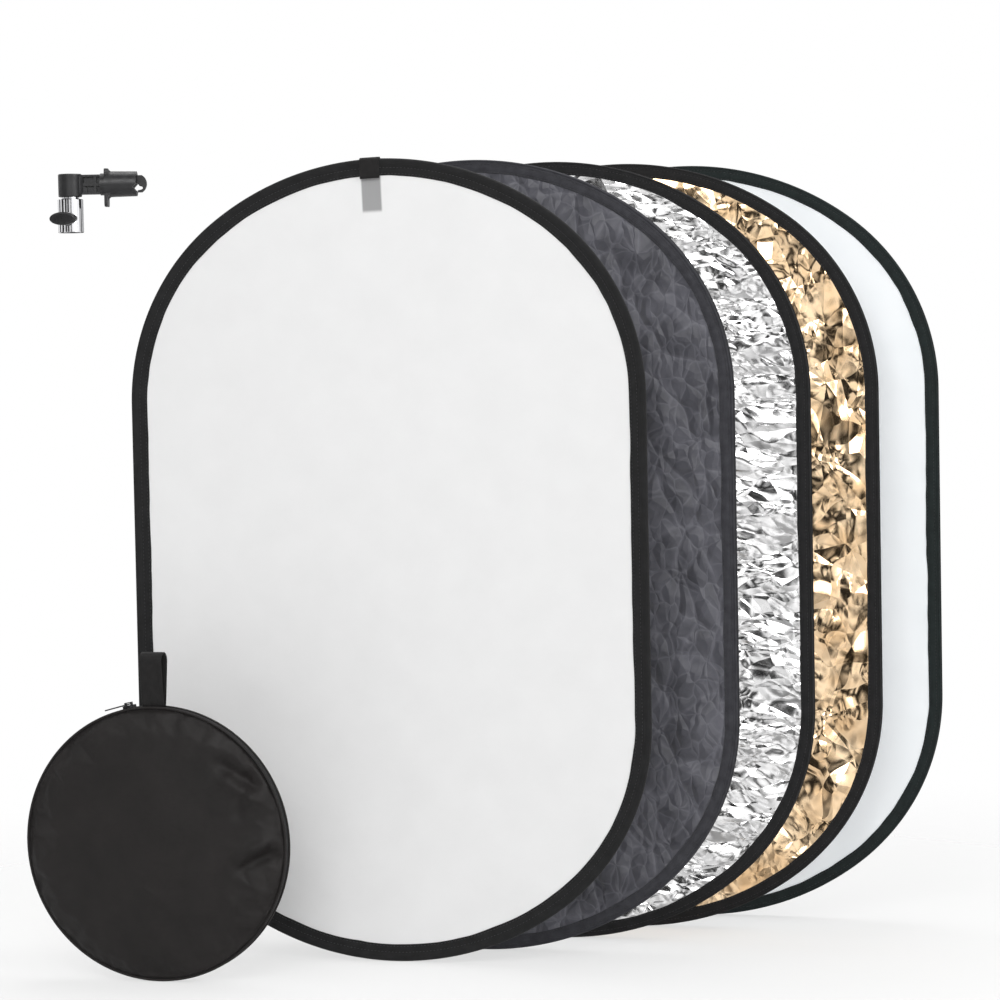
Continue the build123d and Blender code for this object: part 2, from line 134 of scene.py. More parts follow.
FLOOR_RADIUS = 4.0
FLOOR_DROP = 0.0006
FLOOR_SPOKES = 96
FLOOR_FADE = {"From_Min": 0.5, "From_Max": 1.5, "To_Min": 0.4, "To_Max": 0.0}
ROOM_TONES = ((0.425, 0.03), (0.475, 0.55), (0.62, 1.5))
LENS = 112.8
CAMERA_OFFSET = (0.128, -3.5, 0.229)
CAMERA_DOWN = 2.65
CAMERA_ROLL = -1.1
# Place, aim, size and power in watts
SOFTBOXES = {
    "key": ((-0.6, -3.2, 2.4), (0, 0, 0.45), (1.6, 1.6), 40),
    "fill": ((2.4, -2.4, 1.4), (0, 0, 0.45), (1.2, 1.8), 22),
    "top": ((0.2, 0.6, 2.8), (0, 0, 0.4), (2.0, 1.4), 30),
}

# ---- The panel's outline ----

SHOULDER_X = HALF_WIDTH - SHOULDER_RADIUS
CROWN_Y = HALF_HEIGHT - CROWN_RADIUS
CROWN_ANGLE = math.asin(SHOULDER_X / (CROWN_RADIUS - SHOULDER_RADIUS))
SHOULDER_Y = CROWN_Y + (CROWN_RADIUS - SHOULDER_RADIUS) * math.cos(CROWN_ANGLE)
CROWN_ARC = CROWN_RADIUS * CROWN_ANGLE
SHOULDER_ARC = SHOULDER_RADIUS * (math.pi / 2 - CROWN_ANGLE)
QUARTER = CROWN_ARC + SHOULDER_ARC + SHOULDER_Y
PERIMETER = 4 * QUARTER


def outline(arc):
    """Points and outward normals of the outline at distances along it, clockwise from the top."""
    arc = np.asarray(arc, float) % PERIMETER
    quarter = np.minimum((arc / QUARTER).astype(int), 3)
    along = arc - quarter * QUARTER
    along = np.where(quarter % 2 == 1, QUARTER - along, along)
    crown_turn = along / CROWN_RADIUS
    shoulder_turn = CROWN_ANGLE + (along - CROWN_ARC) / SHOULDER_RADIUS
    on_crown = along < CROWN_ARC
    on_side = along > CROWN_ARC + SHOULDER_ARC
    turn = np.where(on_crown, crown_turn, np.minimum(shoulder_turn, math.pi / 2))
    normal = np.stack([np.sin(turn), np.cos(turn)], 1)
    centre = np.where(on_crown[:, None], (0.0, CROWN_Y), (SHOULDER_X, SHOULDER_Y))
    radius = np.where(on_crown, CROWN_RADIUS, SHOULDER_RADIUS)
    point = centre + radius[:, None] * normal
    side_y = SHOULDER_Y - (along - CROWN_ARC - SHOULDER_ARC)
    point[:, 1] = np.where(on_side, side_y, point[:, 1])
    signs = np.array([(1, 1), (1, -1), (-1, -1), (-1, 1)])[quarter]
    return point * signs, normal * signs


def rim_place(x, y):
    """How far points lie inside the outline, and how far along it their nearest place is."""
    px, py = np.abs(x), np.abs(y)
    turn = np.arctan2(px - SHOULDER_X, np.maximum(py - SHOULDER_Y, 0))
    crown_turn = np.arctan2(px, py - CROWN_Y)
    on_crown = (turn < CROWN_ANGLE) & (py > CROWN_Y)
    on_side = ~on_crown & (py <= SHOULDER_Y)
    from_shoulder = np.hypot(px - SHOULDER_X, np.maximum(py - SHOULDER_Y, 0))
    inset = SHOULDER_RADIUS - from_shoulder
    inset = np.where(on_side, HALF_WIDTH - px, inset)
    inset = np.where(on_crown, CROWN_RADIUS - np.hypot(px, py - CROWN_Y), inset)
    along = CROWN_ARC + (turn - CROWN_ANGLE) * SHOULDER_RADIUS
    along = np.where(on_side, QUARTER - py, along)
    along = np.where(on_crown, crown_turn * CROWN_RADIUS, along)
    along = np.where(y < 0, 2 * QUARTER - along, along)
    along = np.where(x < 0, PERIMETER - along, along)
    return inset, along


# ---- Repeatable noise for cloth relief ----


def hashed(ix, iy, seed):
    """A repeatable number from 0 to 1 for each whole-number cell."""
    n = (ix * 374761393 + iy * 668265263 + seed * 974634777) & 0xFFFFFFFF
    n = ((n ^ (n >> 13)) * 1274126177) & 0xFFFFFFFF
    return ((n ^ (n >> 16)) & 0xFFFFFFFF) / 0xFFFFFFFF


def hills(x, y, size, seed):
    """Smooth hills and hollows from -1 to 1, about size across."""
    gx, gy = x / size, y / size
    ix, iy = np.floor(gx).astype(np.int64), np.floor(gy).astype(np.int64)
    fx, fy = gx - ix, gy - iy
    fx, fy = fx * fx * (3 - 2 * fx), fy * fy * (3 - 2 * fy)
    low = hashed(ix, iy, seed) * (1 - fx) + hashed(ix + 1, iy, seed) * fx
    high = hashed(ix, iy + 1, seed) * (1 - fx) + hashed(ix + 1, iy + 1, seed) * fx
    return 2 * (low * (1 - fy) + high * fy) - 1


def facets(x, y, size, seed):
    """Crumpled facets with sharp creases between them, from -1 to 1, about size across."""
    gx, gy = x / size, y / size
    ix, iy = np.floor(gx).astype(np.int64), np.floor(gy).astype(np.int64)
    nearest = np.full(gx.shape, 9.0)
    second = np.full(gx.shape, 9.0)
    lift = np.zeros(gx.shape)
    for dx in (-1, 0, 1):
        for dy in (-1, 0, 1):
            cx, cy = ix + dx, iy + dy
            px = cx + hashed(cx, cy, seed)
            py = cy + hashed(cx, cy, seed + 1)
            distance = np.hypot(gx - px, gy - py)
            closer = distance < nearest
            second = np.where(closer, nearest, np.minimum(second, distance))
            lift = np.where(closer, 2 * hashed(cx, cy, seed + 2) - 1, lift)
            nearest = np.where(closer, distance, nearest)
    return lift * (second - nearest)


def ease(value, low, high):
    """0 below low, 1 above high and a smooth step between them."""
    t = np.clip((value - low) / (high - low), 0, 1)
    return t * t * (3 - 2 * t)


def gathers(inset, arc, size, reach, seed):
    """Puckers that run inwards from the seam and fade out over reach."""
    across = hills(arc, inset * 0.15, size, seed)
    return across * ease(inset, COVER_FLANGE, COVER_FLANGE + 0.006) * np.exp(-inset / reach)


def crease(x, y, start, end, width):
    """A fold from 0 to 1 along a straight line between two points, thinning at its ends."""
    line = np.subtract(end, start)
    length = np.hypot(*line)
    t = ((x - start[0]) * line[0] + (y - start[1]) * line[1]) / length**2
    off = (x - start[0]) * line[1] / length - (y - start[1]) * line[0] / length
    return np.exp(-((off / width) ** 2)) * ease(t, -0.1, 0.25) * (1 - ease(t, 0.75, 1.1))


# ---- Relief of each cloth, in metres, on a panel's own axes ----


def gold_relief(x, y, inset, arc):
    """Large smooth facets broken by finely crumpled stretches."""
    wx = x + 0.014 * hills(x, y, 0.06, 11)
    wy = y + 0.014 * hills(x, y, 0.06, 12)
    busy = ease(hills(x, y, 0.08, 13), -0.1, 0.6)
    height = 0.0062 * facets(wx, wy * 0.75, 0.050, 14)
    height += 0.0030 * facets(wx, wy, 0.024, 17)
    height += 0.0015 * facets(wx, wy, 0.011, 20) * busy
    return height * ease(inset, COVER_FLANGE, 0.035) + 0.0026 * gathers(inset, arc, 0.020, 0.04, 23)


def silver_relief(x, y, inset, arc):
    """Long creases that run in from the rim, over small flat facets."""
    slant = y + 0.45 * x
    wx = x + 0.010 * hills(x, y, 0.05, 31)
    wy = slant + 0.010 * hills(x, y, 0.04, 32)
    busy = ease(hills(x, y, 0.09, 33), -0.3, 0.5)
    height = 0.0052 * facets(wx * 0.45, wy, 0.026, 34)
    height += 0.0026 * facets(wx * 0.7, wy, 0.014, 37) * (0.4 + 0.6 * busy)
    height += 0.0010 * facets(wx, wy, 0.007, 40) * busy
    return height * ease(inset, COVER_FLANGE, 0.035) + 0.0040 * gathers(inset, arc, 0.020, 0.07, 43)


def black_relief(x, y, inset, arc):
    """Soft folds with many thin creases across them."""
    wx = x + 0.012 * hills(x, y, 0.05, 50)
    wy = y + 0.012 * hills(x, y, 0.05, 57)
    height = 0.0014 * hills(x, y, 0.08, 51)
    height += 0.0042 * facets(wx + wy * 0.5, wy * 0.8, 0.036, 52)
    height += 0.0022 * facets(wx, wy, 0.016, 55)
    return height * ease(inset, COVER_FLANGE, 0.035) + 0.0030 * gathers(inset, arc, 0.015, 0.05, 58)


def white_relief(x, y, inset, arc):
    height = 0.0012 * hills(x, y * 0.3, 0.06, 61)
    height += 0.0006 * facets(x, y * 0.5, 0.05, 62)
    return height * ease(inset, COVER_FLANGE, 0.05) + 0.0012 * gathers(inset, arc, 0.022, 0.06, 65)


def diffuser_relief(x, y, inset, arc):
    height = 0.0006 * hills(x, y, 0.12, 71)
    return height * ease(inset, 0.019, 0.06) + 0.0004 * gathers(inset, arc, 0.03, 0.05, 72)


def core_relief(x, y, inset, arc):
    return 0.0004 * hills(x, y, 0.1, 81) * ease(inset, COVER_FLANGE, 0.05)


# ---- Materials ----


# The colour sockets of a mix node, which share their names with its other kinds
MIX_COLOUR_A, MIX_COLOUR_B, MIX_COLOUR = 6, 7, 2


class Look:
    """A material with one Principled shader, and short ways to add nodes to it."""

    def __init__(self, name, colour, roughness, metallic=0.0):
        self.material = bpy.data.materials.new(name)
        self.material.use_nodes = True
        self.tree = self.material.node_tree
        self.shader = self.tree.nodes["Principled BSDF"]
        self.shader.inputs["Base Color"].default_value = (*colour, 1)
        self.shader.inputs["Roughness"].default_value = roughness
        self.shader.inputs["Metallic"].default_value = metallic
        self.places = self.tree.nodes.new("ShaderNodeTexCoord").outputs["Object"]
        self.height = None

    def set(self, **values):
        for name, value in values.items():
            self.shader.inputs[name.replace("_", " ")].default_value = value
        return self

    def feed(self, socket, value):
        """Links a socket to another node's output, or gives it a plain value."""
        if isinstance(value, bpy.types.NodeSocket):
            self.tree.links.new(value, socket)
        else:
            socket.default_value = value

    def node(self, kind, **inputs):
        made = self.tree.nodes.new(kind)
        for name, value in inputs.items():
            self.feed(made.inputs[name.replace("_", " ")], value)
        return made

    def on_cloth(self):
        """Uses distances along and across the cloth instead of the object's own axes."""
        self.places = self.tree.nodes.new("ShaderNodeUVMap").outputs["UV"]
        return self

    def stretched(self, x, y, z):
        return self.node("ShaderNodeMapping", Vector=self.places, Scale=(x, y, z)).outputs["Vector"]

    def noise(self, size, detail=3.0, places=None):
        places = places or self.places
        made = self.node("ShaderNodeTexNoise", Vector=places, Scale=1 / size, Detail=detail)
        return made.outputs["Fac"]

    def folded(self, size, wander, places=None):
        """Crumpled facets about size across, whose edges wander by that many metres."""
        drift = self.node("ShaderNodeTexNoise", Vector=self.places, Scale=0.8 / size, Detail=1.0)
        moved = self.node("ShaderNodeVectorMath")
        moved.operation = "MULTIPLY_ADD"
        self.tree.links.new(drift.outputs["Color"], moved.inputs[0])
        moved.inputs[1].default_value = (wander, wander, 0)
        self.tree.links.new(places or self.places, moved.inputs[2])
        made = self.node("ShaderNodeTexVoronoi", Vector=moved.outputs["Vector"], Scale=1 / size)
        made.feature = "DISTANCE_TO_EDGE"
        return made.outputs["Distance"]

    def bands(self, pitch, axis, wander=0.0):
        scale = math.pi / 10 / pitch
        made = self.node("ShaderNodeTexWave", Vector=self.places, Scale=scale, Distortion=wander)
        made.bands_direction = axis
        return made.outputs["Fac"]

    def math(self, operation, a, b):
        made = self.tree.nodes.new("ShaderNodeMath")
        made.operation = operation
        for socket, value in zip(made.inputs, (a, b)):
            self.feed(socket, value)
        return made.outputs[0]

    def soft_step(self, source, low, high):
        """0 at low, 1 at high and a smooth step between them."""
        made = self.node("ShaderNodeMapRange", Value=source, From_Min=low, From_Max=high)
        made.interpolation_type = "SMOOTHSTEP"
        return made.outputs["Result"]

    def ramp(self, source, low, high, dark, light):
        """Colour that goes from dark to light as source goes from low to high."""
        made = self.node("ShaderNodeValToRGB", Fac=source)
        first, last = made.color_ramp.elements
        first.position, last.position = low, high
        first.color, last.color = (*dark, 1), (*light, 1)
        return made.outputs["Color"]

    def colours(self, source, low, high, dark, light):
        colour = self.ramp(source, low, high, dark, light)
        self.tree.links.new(colour, self.shader.inputs["Base Color"])
        return self

    def over(self, source, share, colour):
        """The source colour with a share of a plain colour over it, as the base colour."""
        mix = self.node("ShaderNodeMix", Factor=share)
        mix.data_type = "RGBA"
        self.feed(mix.inputs[MIX_COLOUR_A], source)
        self.feed(mix.inputs[MIX_COLOUR_B], (*colour, 1))
        self.tree.links.new(mix.outputs[MIX_COLOUR], self.shader.inputs["Base Color"])
        return self

    def rough(self, source, low, high):
        span = {"From_Min": 0.3, "From_Max": 0.7, "To_Min": low, "To_Max": high}
        made = self.node("ShaderNodeMapRange", Value=source, **span)
        self.tree.links.new(made.outputs["Result"], self.shader.inputs["Roughness"])
        return self

    def bump(self, source, depth, strength=1.0):
        """Adds relief of that depth in metres over what was added before."""
        made = self.node("ShaderNodeBump", Height=source, Distance=depth, Strength=strength)
        if self.height is not None:
            self.tree.links.new(self.height, made.inputs["Normal"])
        self.height = made.outputs["Normal"]
        self.tree.links.new(self.height, self.shader.inputs["Normal"])
        return self

    def weave(self, pitch, depth):
        """Threads that cross over each other, pitch apart."""
        warp, weft = self.bands(pitch, "X"), self.bands(pitch, "Y")
        return self.bump(self.math("MULTIPLY", warp, weft), depth)


def diffuser_cloth():
    """Thin white cloth, with a painted grey shadow where the tab's hidden leg lies behind it."""
    look = Look("translucent_fabric", (0.9, 0.9, 0.9), 0.62).on_cloth()
    look.set(Sheen_Weight=0.1, Specular_IOR_Level=0.3)
    turned = look.node("ShaderNodeMapping", Vector=look.places, Location=(0, CROWN_Y, 0))
    turned.vector_type = "TEXTURE"
    turned.inputs["Rotation"].default_value = (0, 0, TAB_LEAN)
    parts = look.node("ShaderNodeSeparateXYZ", Vector=turned.outputs["Vector"])
    beside = look.math("ABSOLUTE", parts.outputs["X"], 0.0)
    inside = look.soft_step(beside, TAB_WIDTH / 2 + 0.001, TAB_WIDTH / 2 - 0.0015)
    foot = CROWN_RADIUS - TAB_BACK
    above = look.soft_step(parts.outputs["Y"], foot - 0.002, foot + 0.003)
    # Painted shadow: a grey patch on the cloth where the tab's hidden leg lies behind it.
    shade = look.math("MULTIPLY", look.math("MULTIPLY", inside, above), 0.82)
    mottled = look.ramp(look.noise(0.05), 0.3, 0.7, (0.895, 0.895, 0.895), (0.92, 0.92, 0.92))
    look.over(mottled, shade, (0.26, 0.26, 0.265))
    return look.weave(0.0007, 0.00006).material


def white_cloth():
    look = Look("white_fabric", (0.90, 0.92, 0.935), 0.55).on_cloth()
    # Painted light: a faint glow that brightens the white cloth where it sits in shade between the panels.
    look.set(Sheen_Weight=0.2, Emission_Color=(0.93, 0.97, 1.0, 1), Emission_Strength=0.16)
    soft = look.noise(0.06, places=look.stretched(1, 0.35, 1))
    look.colours(soft, 0.3, 0.7, (0.84, 0.87, 0.89), (0.90, 0.92, 0.935))
    look.bump(look.noise(0.02, 4), 0.0006, 0.5)
    return look.weave(0.0006, 0.00005).material


def black_cloth():
    """Satin nylon with many fine creases, and a painted highlight that makes the colour paler along their
    edges.
    """
    look = Look("black_nylon", (0.055, 0.055, 0.066), 0.42).on_cloth()
    look.set(Sheen_Weight=0.1, Sheen_Roughness=0.4)
    slanted = look.stretched(1.25, 0.8, 1)
    broad = look.folded(0.050, 0.040, slanted)
    fine = look.folded(0.019, 0.016, slanted)
    # Painted highlight: the colour is made paler along the crease edges, on top of a random mottle.
    painted_crease_highlight = look.soft_step(look.math("MINIMUM", broad, fine), 0.07, 0.0)
    mottle = look.math("MULTIPLY", look.noise(0.05, 5), 0.8)
    shade = look.math("ADD", mottle, look.math("MULTIPLY", painted_crease_highlight, 0.15))
    look.colours(shade, 0.25, 0.62, (0.042, 0.042, 0.053), (0.122, 0.122, 0.144))
    look.rough(look.noise(0.02), 0.30, 0.45)
    look.bump(broad, 0.0150)
    look.bump(fine, 0.0050)
    return look.weave(0.0005, 0.00004).material


def foil(name, colour, dark, roughness, stretch, sizes, slopes):
    """Metallised cloth, crumpled in facets of several sizes, the finest only in places."""
    look = Look(name, colour, roughness, metallic=1.0).on_cloth()
    look.colours(look.noise(0.04, 4), 0.35, 0.65, dark, colour)
    look.rough(look.noise(0.03, 3), roughness * 0.6, roughness * 1.6)
    long = look.stretched(*stretch, 1)
    for size, slope in zip(sizes, slopes):
        look.bump(look.folded(size, size * 0.6, long), slope * size)
    fine = look.folded(sizes[-1] * 0.45, sizes[-1] * 0.3, long)
    busy = look.soft_step(look.noise(0.06, 1), 0.50, 0.62)
    look.bump(look.math("MULTIPLY", fine, busy), slopes[-1] * sizes[-1] * 0.45)
    return look.weave(0.0006, 0.00001).material


def webbing(name, dark, light, roughness=0.72):
    """Woven tape: ribs along the tape and fine threads across it."""
    look = Look(name, dark, roughness).on_cloth()
    look.set(Sheen_Weight=0.06, Sheen_Roughness=0.5, Specular_IOR_Level=0.3)
    look.colours(look.noise(0.012, 5), 0.3, 0.75, dark, light)
    look.bump(look.bands(0.0016, "X", 0.4), 0.00018)
    look.bump(look.bands(0.0011, "Y", 0.6), 0.00012)
    return look.bump(look.noise(0.02, 4), 0.0008, 0.5).material


def bag_cloth():
    look = Look("bag_nylon", (0.013, 0.011, 0.010), 0.5).on_cloth()
    look.set(Sheen_Weight=0.05, Sheen_Roughness=0.45, Specular_IOR_Level=0.35)
    look.colours(look.noise(0.05, 4), 0.3, 0.7, (0.0074, 0.0058, 0.0054), (0.0125, 0.0100, 0.0095))
    look.rough(look.noise(0.03), 0.45, 0.6)
    look.bump(look.noise(0.03, 4), 0.002, 0.6)
    return look.weave(0.0006, 0.00008).material


def thread(name, colour):
    look = Look(name, colour, 0.6)
    look.colours(look.noise(0.004), 0.3, 0.7, [c * 0.7 for c in colour], colour)
    return look.bump(look.noise(0.0006, 2), 0.0001).material


def enamel():
    """Black enamelled zip metal with worn, brighter patches."""
    look = Look("zip_metal", (0.02, 0.02, 0.022), 0.32, metallic=0.6)
    look.colours(look.noise(0.003, 5), 0.45, 0.8, (0.016, 0.016, 0.018), (0.12, 0.12, 0.125))
    look.rough(look.noise(0.002), 0.25, 0.45)
    return look.bump(look.noise(0.0015, 3), 0.00008).material


def chrome():
    look = Look("chrome", (0.80, 0.80, 0.82), 0.07, metallic=1.0)
    look.rough(look.noise(0.01, 4), 0.04, 0.11)
    return look.bump(look.noise(0.004, 2), 0.00003).material


def worked_metal(name, colour, roughness):
    """Drawn or turned metal with fine marks along it."""
    look = Look(name, colour, roughness, metallic=1.0)
    look.colours(look.noise(0.006, 4), 0.3, 0.7, [c * 0.8 for c in colour], colour)
    look.rough(look.noise(0.003), roughness * 0.8, roughness * 1.25)
    return look.bump(look.noise(0.001, 3, look.stretched(1, 1, 6)), 0.00003).material


def moulded(name, colour, roughness, grain):
    """Moulded plastic with a fine grain and slight wear."""
    look = Look(name, colour, roughness)
    look.colours(look.noise(0.012, 5), 0.35, 0.8, colour, [c * 1.9 for c in colour])
    look.rough(look.noise(0.008, 4), roughness * 0.85, roughness * 1.2)
    return look.bump(look.noise(grain, 2), grain * 0.12).material


LOOKS = {
    "diffuser": diffuser_cloth(),
    "white": white_cloth(),
    "black": black_cloth(),
    "silver": foil(
        "silver_foil", (0.95, 0.945, 0.945), (0.88, 0.875, 0.88), 0.13,
        (0.5, 1.4), (0.085, 0.034), (0.24, 0.22),
    ),
    "gold": foil(
        "gold_foil", (1.0, 0.76, 0.50), (0.84, 0.57, 0.32), 0.09,
        (1.1, 0.75), (0.115, 0.048), (0.24, 0.22),
    ),
    "binding": webbing("black_binding", (0.0075, 0.0075, 0.0078), (0.014, 0.014, 0.0147)),
    "rim": webbing("black_rim_tape", (0.006, 0.006, 0.0065), (0.013, 0.0125, 0.0135)),
    "green_rim": webbing("dark_rim_tape", (0.006, 0.0105, 0.0105), (0.012, 0.020, 0.0195)),
    "grey_rim": webbing("grey_rim_tape", (0.030, 0.030, 0.036), (0.054, 0.054, 0.063)),
    "webbing": webbing("black_webbing", (0.008, 0.0074, 0.0074), (0.016, 0.0148, 0.0148)),
    "bag": bag_cloth(),
    "tape": webbing("zip_tape", (0.009, 0.009, 0.010), (0.018, 0.018, 0.019)),
    "coil": thread("zip_coil", (0.016, 0.016, 0.018)),
    "thread": thread("sewing_thread", (0.03, 0.03, 0.032)),
    "enamel": enamel(),
    "chrome": chrome(),
    "steel": worked_metal("steel", (0.62, 0.62, 0.64), 0.25),
    "spring_steel": worked_metal("spring_steel", (0.36, 0.37, 0.40), 0.3),
    "brass": worked_metal("brass", (0.78, 0.57, 0.27), 0.28),
    "plastic": moulded("black_plastic", (0.014, 0.014, 0.015), 0.38, 0.0007),
    "knob": moulded("black_knob", (0.010, 0.010, 0.011), 0.3, 0.0009),
}

# ---- Building pieces ----


def axes_of(node):
    """Places a panel's or the bag's own axes: the middle of a node that is the same all round."""
    low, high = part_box(node)
    across = Vector(joints["black_lift_off"]["axis"]).normalized()
    up = Vector((0, 0, 1))
    place = Matrix((across, up, across.cross(up))).transposed().to_4x4()
    place.translation = (low + high) / 2
    return place


def new_piece(name, points, faces, body, look, place=None, loop_uv=None):
    """A smooth mesh from points and faces, in the frame's axes, that rides on a body."""
    mesh = bpy.data.meshes.new(name)
    mesh.from_pydata(np.asarray(points, float).tolist(), [], faces)
    if loop_uv is not None:
        layer = mesh.uv_layers.new(name="cloth")
        layer.data.foreach_set("uv", np.asarray(loop_uv, np.float32).ravel())
    mesh.shade_smooth()
    if place is not None:
        mesh.transform(place)
    mesh.materials.append(LOOKS[look])
    piece = bpy.data.objects.new(name, mesh)
    bpy.context.scene.collection.objects.link(piece)
    # The foils reflect the studio, not the shaded back of the panel in front of them.
    piece.visible_glossy = not body.endswith("_panel")
    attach(piece, body)
    return piece


def run_lengths(points):
    """Distance of each point from the first, along a line of points."""
    return np.concatenate([[0], np.cumsum(np.hypot(*np.diff(points, axis=0).T))])


def tube(rows, across, along, flipped=False):
    """Faces and cloth distances of closed sections in rows: across holds the distances round
    a section and along those from row to row, one more than rows where it closes on itself."""
    count = len(across) - 1
    faces, uv = [], []
    for i in range(len(along) - 1):
        here, there = i * count, (i + 1) % rows * count
        low, high = along[i], along[i + 1]
        for j in range(count):
            k = (j + 1) % count
            corners = [here + j, here + k, there + k, there + j]
            places = [(across[j], low), (across[j + 1], low), (across[j + 1], high), (across[j], high)]
            if flipped:
                corners = [corners[0], *corners[:0:-1]]
                places = [places[0], *places[:0:-1]]
            faces.append(tuple(corners))
            uv += places
    return faces, uv


def sweep(name, section, body, look, place, wander=0.0, seed=1):
    """A band round the outline. section is a closed loop of (inset, depth) in millimetres,
    and its inner points wander a little along the band."""
    section = np.asarray(section, float) * 0.001
    step = PERIMETER / SWEEP_STEPS
    arc = np.arange(SWEEP_STEPS) * step
    point, normal = outline(arc)
    drift = hills(arc, 0 * arc, 0.045, seed) + 0.5 * hills(arc, 0 * arc, 0.014, seed + 1)
    rows = []
    for inset, depth in section:
        shifted = inset + wander * drift * max(inset, 0) / section[:, 0].max()
        row = point - shifted[:, None] * normal
        rows.append(np.column_stack([row, np.full(SWEEP_STEPS, depth)]))
    points = np.stack(rows, 1).reshape(-1, 3)
    across = run_lengths(np.vstack([section, section[:1]]))
    along = np.arange(SWEEP_STEPS + 1) * step
    faces, uv = tube(SWEEP_STEPS, across, along, flipped=True)
    return new_piece(name, points, faces, body, look, place, uv)


def mirrored(section):
    """The same section behind the panel's middle, still running the same way round."""
    return [(inset, -depth) for inset, depth in reversed(section)]


def bump_profile(centre, radius, start, end, steps):
    """Points of a round bead, as (inset, depth), between two angles in degrees."""
    turns = np.radians(np.linspace(start, end, steps))
    return [(centre[0] - radius * math.cos(t), centre[1] + radius * math.sin(t)) for t in turns]


def strap(name, route, width, thick, body, place):
    """Webbing of even thickness along a route of (height, depth) points, with soft selvedges."""
    route = np.asarray(route, float)
    fine = np.linspace(0, 1, 6)[:-1]
    path = [route[i] * (1 - t) + route[i + 1] * t for i in range(len(route) - 1) for t in fine]
    path = np.array(path + [route[-1]])
    run = np.gradient(path, axis=0)
    run /= np.hypot(*run.T)[:, None]
    off = np.column_stack([-run[:, 1], run[:, 0]])
    half, edge = width / 2, thick / 2
    ring = [(-half, 0), (-half + edge * 0.6, edge), (-half + 2 * edge, edge * 0.8)]
    ring += [(-half + 4 * edge, edge), (half - 4 * edge, edge), (half - 2 * edge, edge * 0.8)]
    ring += [(half - edge * 0.6, edge), (half, 0), (half - edge * 0.6, -edge)]
    ring += [(half - 4 * edge, -edge), (-half + 4 * edge, -edge), (-half + edge * 0.6, -edge)]
    count = len(ring)
    points = []
    for i, (height, depth) in enumerate(path):
        for x, lift in ring:
            points.append((x, height + off[i, 0] * lift, depth + off[i, 1] * lift))
    across = [x for x, _ in ring + ring[:1]]
    faces, uv = tube(len(path), across, run_lengths(path))
    last = (len(path) - 1) * count
    faces += [tuple(range(count))[::-1], tuple(range(last, last + count))]
    uv += [(0, 0)] * (2 * count)
    return new_piece(name, points, faces, body, "webbing", place, uv)


SHEET_CACHE = {}


def sheet_grid(inset, spacing):
    """Even triangles that fill the outline at an inset: points and faces."""
    if (inset, spacing) in SHEET_CACHE:
        return SHEET_CACHE[inset, spacing]
    count = int(PERIMETER / spacing)
    point, normal = outline(np.arange(count) * PERIMETER / count)
    rim = point - inset * normal
    rows = np.arange(-HALF_HEIGHT, HALF_HEIGHT, spacing * math.sqrt(0.75))
    columns = np.arange(-HALF_WIDTH, HALF_WIDTH, spacing)
    x, y = np.meshgrid(columns, rows)
    x = x + np.where(np.arange(len(rows))[:, None] % 2 == 1, spacing / 2, 0)
    x, y = x.ravel(), y.ravel()
    inside = rim_place(x, y)[0] > inset + spacing * 0.6
    inner = np.column_stack([x[inside], y[inside]])
    loose = [Vector(p) for p in np.vstack([rim, inner]).tolist()]
    made = delaunay_2d_cdt(loose, [], [list(range(count))], 1, 1e-7)
    SHEET_CACHE[inset, spacing] = np.array([tuple(p) for p in made[0]]), made[2]
    return SHEET_CACHE[inset, spacing]


def stretched_sheet(name, body, look, place, inset, depth, side, relief, spacing):
    """A cloth face stretched in the outline. side is 1 for the front and -1 for the back."""
    flat, faces = sheet_grid(inset, spacing)
    x, y = flat.T
    height = relief(x * side, y, *rim_place(x * side, y))
    height = np.clip(height, RELIEF_LOW, RELIEF_HIGH)
    points = np.column_stack([x, y, side * (depth + height)])
    if side < 0:
        faces = [tuple(reversed(face)) for face in faces]
    uv = flat[np.concatenate([np.asarray(face) for face in faces])]
    piece = new_piece(name, points, faces, body, look, place, uv)
    thicken(piece, CLOTH_THICK)
    return piece


def thicken(piece, thickness):
    """Gives a sheet its cloth's thickness, behind its outer face."""
    solid = piece.modifiers.new("thickness", "SOLIDIFY")
    solid.thickness = thickness
    solid.offset = -1


def lozenge_faces(count):
    """Faces of a run of eight-sided lozenges with six points each."""
    sides = ((0, 1, 4), (1, 2, 4), (2, 3, 4), (3, 0, 4), (1, 0, 5), (2, 1, 5), (3, 2, 5), (0, 3, 5))
    return [(base + a, base + b, base + c) for base in range(0, 6 * count, 6) for a, b, c in sides]


def both_sides(rows):
    """Rows of stitches on the front, and the same on the back."""
    return rows + [(inset, -depth, -facing, shift) for inset, depth, facing, shift in rows]


def beads(name, body, look, place, rows, pitch, size):
    """Stitches or zip teeth: small lozenges round the outline. Each row is (inset, depth,
    facing, shift), facing 1 or -1 for the front or back and 0 for outwards."""
    length, width, height = (0.5 * value for value in size)
    corners = [(length, 0, 0), (0, width, 0), (-length, 0, 0)]
    corners += [(0, -width, 0), (0, 0, height), (0, 0, -height)]
    count = int(PERIMETER / pitch)
    blocks = []
    for inset, depth, facing, shift in rows:
        arc = (np.arange(count) + shift) * PERIMETER / count
        point, normal = outline(arc)
        middle = np.column_stack([point - inset * normal, np.full(count, depth)])
        outward = np.column_stack([normal, np.zeros(count)])
        along = np.column_stack([normal[:, 1], -normal[:, 0], np.zeros(count)])
        front = np.broadcast_to((0.0, 0.0, float(facing or 1)), outward.shape)
        up, across = (front, outward) if facing else (outward, front)
        lozenge = [middle + a * along + b * across + c * up for a, b, c in corners]
        blocks.append(np.stack(lozenge, 1).reshape(-1, 3))
    return new_piece(name, np.vstack(blocks), lozenge_faces(count * len(rows)), body, look, place)


# ---- Diffuser panel ----


